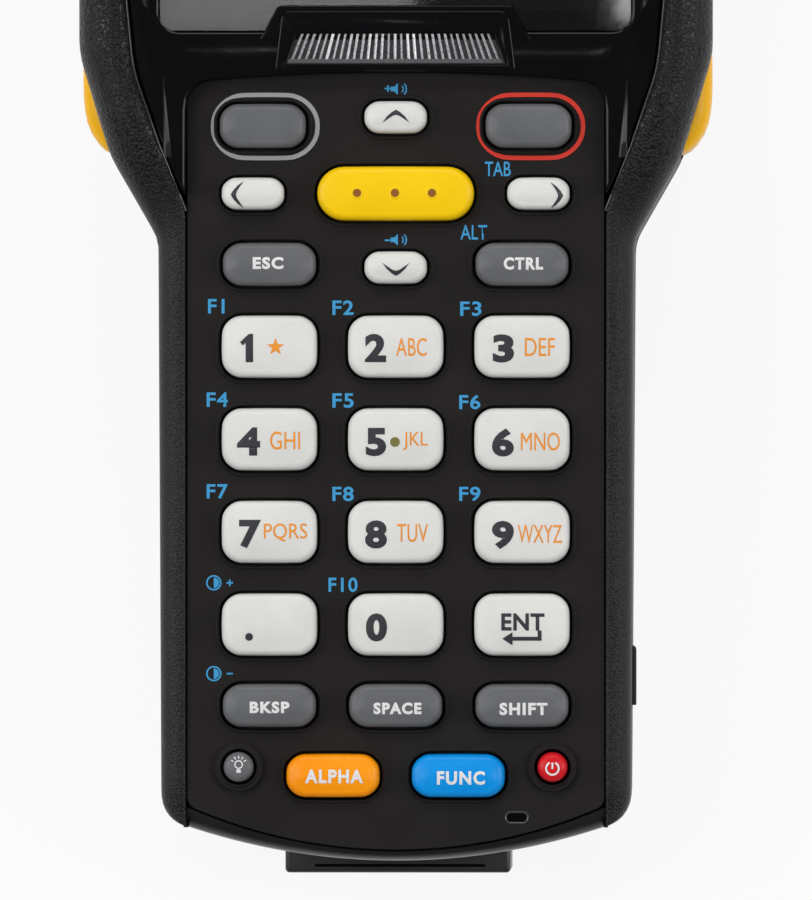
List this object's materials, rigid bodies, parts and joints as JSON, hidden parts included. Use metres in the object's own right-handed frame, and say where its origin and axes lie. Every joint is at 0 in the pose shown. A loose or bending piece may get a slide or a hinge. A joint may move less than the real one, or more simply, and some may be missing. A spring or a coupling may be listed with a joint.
{
  "type": "portable data terminal",
  "caption": "Brick-shaped handheld scanning terminal with wide display head, full keypad, side triggers, swivelling scan turret and hinged battery door",
  "frame": {"origin": "centre of the bounding box in plan, on the surface that the terminal lies on", "axes": "+Z out of the keypad face, +Y along the length toward the scan head, +X to the right of a person reading the keys"},
  "size_m": [0.0808, 0.1904, 0.0434],
  "materials": {
    "shell": "fine-grained black moulded plastic",
    "gloss": "polished black plastic",
    "clear": "clear hard-coated window",
    "display": "grey display glass in a steel frame",
    "silver": "satin silver foil",
    "panel": "matte black printed keypad plate",
    "silicone": "grey silicone sheet",
    "board": "green circuit board",
    "part": "black component housing",
    "steel": "plain steel",
    "battery": "labelless dark battery case",
    "brass": "gold-plated contacts in a black carrier",
    "rubber": "soft black rubber",
    "scan_glass": "deep red scan window",
    "yellow": "satin yellow plastic",
    "white_key": "satin off-white keycap",
    "grey_key": "satin dark grey keycap",
    "orange_key": "satin orange keycap",
    "blue_key": "satin blue keycap",
    "red_key": "satin red keycap"
  },
  "bodies": {
    "body": {"front_housing": "shell", "rear_housing": "shell", "display_bezel": "gloss", "display_window": "clear", "lcd_module": "display", "badge_backing": "silver", "badge_window": "clear", "keypad_panel": "panel", "keypad_membrane": "silicone", "keypad_board": "board", "main_board": "board", "speaker": "part", "microphone": "part", "trigger_switches": "part", "turret_pivot": "steel", "turret_screw": "steel", "battery_pack": "battery", "battery_contacts": "brass", "cover_hinge_pin": "steel", "heel_pad": "rubber", "dock_shroud": "part", "dock_connector": "brass", "headset_jack": "part", "housing_screws": "steel"},
    "turret": {"turret_shell": "shell", "scan_window": "scan_glass", "scan_engine": "part"},
    "cover": {"battery_cover": "shell"},
    "latch": {"cover_latch": "shell"},
    "trigger_right": {"trigger_right": "yellow"},
    "trigger_left": {"trigger_left": "yellow"},
    "jack_lid": {"jack_cover": "rubber"},
    "b_key_1": {"key_1": "white_key"},
    "b_key_2": {"key_2": "white_key"},
    "b_key_3": {"key_3": "white_key"},
    "b_key_4": {"key_4": "white_key"},
    "b_key_5": {"key_5": "white_key"},
    "b_key_6": {"key_6": "white_key"},
    "b_key_7": {"key_7": "white_key"},
    "b_key_8": {"key_8": "white_key"},
    "b_key_9": {"key_9": "white_key"},
    "b_key_dot": {"key_dot": "white_key"},
    "b_key_0": {"key_0": "white_key"},
    "b_key_enter": {"key_enter": "white_key"},
    "b_key_backspace": {"key_backspace": "grey_key"},
    "b_key_space": {"key_space": "grey_key"},
    "b_key_shift": {"key_shift": "grey_key"},
    "b_key_alpha": {"key_alpha": "orange_key"},
    "b_key_function": {"key_function": "blue_key"},
    "b_key_escape": {"key_escape": "grey_key"},
    "b_key_control": {"key_control": "grey_key"},
    "b_key_up": {"key_up": "white_key"},
    "b_key_down": {"key_down": "white_key"},
    "b_key_left": {"key_left": "white_key"},
    "b_key_right": {"key_right": "white_key"},
    "b_key_soft_left": {"key_soft_left": "grey_key"},
    "b_key_soft_right": {"key_soft_right": "grey_key"},
    "b_key_scan": {"key_scan": "yellow"},
    "b_key_light": {"key_light": "grey_key"},
    "b_key_power": {"key_power": "red_key"}
  },
  "joints": [
    {"name": "key_1_press", "type": "slide", "parent": "body", "child": "b_key_1", "axis": [0, 0, -1], "range_m": [0, 0.0008], "stiffness_N_per_m": 250, "springref_m": -0.0008},
    {"name": "key_2_press", "type": "slide", "parent": "body", "child": "b_key_2", "axis": [0, 0, -1], "range_m": [0, 0.0008], "stiffness_N_per_m": 250, "springref_m": -0.0008},
    {"name": "key_3_press", "type": "slide", "parent": "body", "child": "b_key_3", "axis": [0, 0, -1], "range_m": [0, 0.0008], "stiffness_N_per_m": 250, "springref_m": -0.0008},
    {"name": "key_4_press", "type": "slide", "parent": "body", "child": "b_key_4", "axis": [0, 0, -1], "range_m": [0, 0.0008], "stiffness_N_per_m": 250, "springref_m": -0.0008},
    {"name": "key_5_press", "type": "slide", "parent": "body", "child": "b_key_5", "axis": [0, 0, -1], "range_m": [0, 0.0008], "stiffness_N_per_m": 250, "springref_m": -0.0008},
    {"name": "key_6_press", "type": "slide", "parent": "body", "child": "b_key_6", "axis": [0, 0, -1], "range_m": [0, 0.0008], "stiffness_N_per_m": 250, "springref_m": -0.0008},
    {"name": "key_7_press", "type": "slide", "parent": "body", "child": "b_key_7", "axis": [0, 0, -1], "range_m": [0, 0.0008], "stiffness_N_per_m": 250, "springref_m": -0.0008},
    {"name": "key_8_press", "type": "slide", "parent": "body", "child": "b_key_8", "axis": [0, 0, -1], "range_m": [0, 0.0008], "stiffness_N_per_m": 250, "springref_m": -0.0008},
    {"name": "key_9_press", "type": "slide", "parent": "body", "child": "b_key_9", "axis": [0, 0, -1], "range_m": [0, 0.0008], "stiffness_N_per_m": 250, "springref_m": -0.0008},
    {"name": "key_dot_press", "type": "slide", "parent": "body", "child": "b_key_dot", "axis": [0, 0, -1], "range_m": [0, 0.0008], "stiffness_N_per_m": 250, "springref_m": -0.0008},
    {"name": "key_0_press", "type": "slide", "parent": "body", "child": "b_key_0", "axis": [0, 0, -1], "range_m": [0, 0.0008], "stiffness_N_per_m": 250, "springref_m": -0.0008},
    {"name": "key_enter_press", "type": "slide", "parent": "body", "child": "b_key_enter", "axis": [0, 0, -1], "range_m": [0, 0.0008], "stiffness_N_per_m": 250, "springref_m": -0.0008},
    {"name": "key_backspace_press", "type": "slide", "parent": "body", "child": "b_key_backspace", "axis": [0, 0, -1], "range_m": [0, 0.0008], "stiffness_N_per_m": 250, "springref_m": -0.0008},
    {"name": "key_space_press", "type": "slide", "parent": "body", "child": "b_key_space", "axis": [0, 0, -1], "range_m": [0, 0.0008], "stiffness_N_per_m": 250, "springref_m": -0.0008},
    {"name": "key_shift_press", "type": "slide", "parent": "body", "child": "b_key_shift", "axis": [0, 0, -1], "range_m": [0, 0.0008], "stiffness_N_per_m": 250, "springref_m": -0.0008},
    {"name": "key_alpha_press", "type": "slide", "parent": "body", "child": "b_key_alpha", "axis": [0, 0, -1], "range_m": [0, 0.0008], "stiffness_N_per_m": 250, "springref_m": -0.0008},
    {"name": "key_function_press", "type": "slide", "parent": "body", "child": "b_key_function", "axis": [0, 0, -1], "range_m": [0, 0.0008], "stiffness_N_per_m": 250, "springref_m": -0.0008},
    {"name": "key_escape_press", "type": "slide", "parent": "body", "child": "b_key_escape", "axis": [0, 0, -1], "range_m": [0, 0.0008], "stiffness_N_per_m": 250, "springref_m": -0.0008},
    {"name": "key_control_press", "type": "slide", "parent": "body", "child": "b_key_control", "axis": [0, 0, -1], "range_m": [0, 0.0008], "stiffness_N_per_m": 250, "springref_m": -0.0008},
    {"name": "key_up_press", "type": "slide", "parent": "body", "child": "b_key_up", "axis": [0, 0, -1], "range_m": [0, 0.0008], "stiffness_N_per_m": 250, "springref_m": -0.0008},
    {"name": "key_down_press", "type": "slide", "parent": "body", "child": "b_key_down", "axis": [0, 0, -1], "range_m": [0, 0.0008], "stiffness_N_per_m": 250, "springref_m": -0.0008},
    {"name": "key_left_press", "type": "slide", "parent": "body", "child": "b_key_left", "axis": [0, 0, -1], "range_m": [0, 0.0008], "stiffness_N_per_m": 250, "springref_m": -0.0008},
    {"name": "key_right_press", "type": "slide", "parent": "body", "child": "b_key_right", "axis": [0, 0, -1], "range_m": [0, 0.0008], "stiffness_N_per_m": 250, "springref_m": -0.0008},
    {"name": "key_soft_left_press", "type": "slide", "parent": "body", "child": "b_key_soft_left", "axis": [0, 0, -1], "range_m": [0, 0.0008], "stiffness_N_per_m": 250, "springref_m": -0.0008},
    {"name": "key_soft_right_press", "type": "slide", "parent": "body", "child": "b_key_soft_right", "axis": [0, 0, -1], "range_m": [0, 0.0008], "stiffness_N_per_m": 250, "springref_m": -0.0008},
    {"name": "key_scan_press", "type": "slide", "parent": "body", "child": "b_key_scan", "axis": [0, 0, -1], "range_m": [0, 0.0008], "stiffness_N_per_m": 250, "springref_m": -0.0008},
    {"name": "key_light_press", "type": "slide", "parent": "body", "child": "b_key_light", "axis": [0, 0, -1], "range_m": [0, 0.0008], "stiffness_N_per_m": 250, "springref_m": -0.0008},
    {"name": "key_power_press", "type": "slide", "parent": "body", "child": "b_key_power", "axis": [0, 0, -1], "range_m": [0, 0.0008], "stiffness_N_per_m": 250, "springref_m": -0.0008},
    {"name": "trigger_right_press", "type": "slide", "parent": "body", "child": "trigger_right", "axis": [-1, 0, 0], "range_m": [0, 0.001], "stiffness_N_per_m": 400, "springref_m": -0.001},
    {"name": "trigger_left_press", "type": "slide", "parent": "body", "child": "trigger_left", "axis": [1, 0, 0], "range_m": [0, 0.001], "stiffness_N_per_m": 400, "springref_m": -0.001},
    {"name": "turret_turn", "type": "hinge", "parent": "body", "child": "turret", "pos_m": [0, 0.0692, 0.01], "axis": [0, 0, 1], "range_deg": [-90, 90]},
    {"name": "cover_hinge", "type": "hinge", "parent": "body", "child": "cover", "pos_m": [0, 0.012, 0.0094], "axis": [1, 0, 0], "range_deg": [0, 100]},
    {"name": "latch_slide", "type": "slide", "parent": "cover", "child": "latch", "axis": [0, -1, 0], "range_m": [0, 0.003]},
    {"name": "jack_lid_hinge", "type": "hinge", "parent": "body", "child": "jack_lid", "pos_m": [0.02995, -0.0666, 0.03], "axis": [0, 0, 1], "range_deg": [0, 100]}
  ]
}
